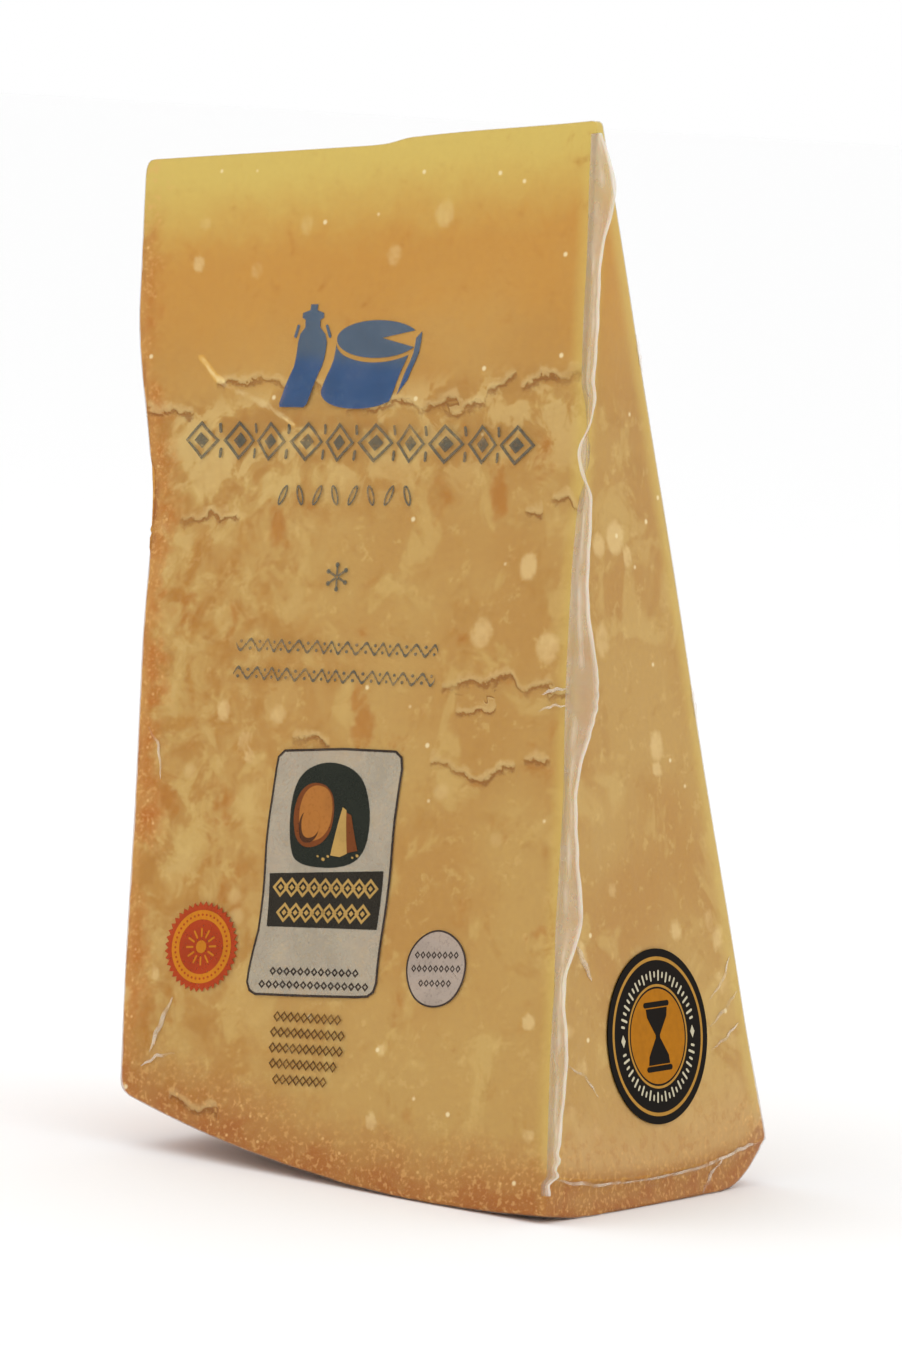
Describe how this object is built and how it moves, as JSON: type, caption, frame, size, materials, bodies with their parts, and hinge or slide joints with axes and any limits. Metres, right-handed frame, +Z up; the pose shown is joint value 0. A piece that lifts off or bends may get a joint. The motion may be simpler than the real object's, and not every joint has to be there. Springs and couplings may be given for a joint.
{
  "type": "vacuum-packed wedge of hard cheese",
  "caption": "Wedge of hard aged cheese, vacuum packed in clear film with plain prints and a round label, standing on its rind.",
  "frame": {"origin": "on the table, under the middle of the pack's bounding box", "axes": "+Z up, the printed cut face toward -Y, the labelled cut face toward +X"},
  "size_m": [0.1442, 0.0798, 0.2139],
  "materials": {
    "paste": "satin",
    "film": "gloss",
    "print": "gloss",
    "label": "gloss"
  },
  "bodies": {
    "root": {"sealed_pack": "paste", "round_label": "label"}
  },
  "joints": []
}
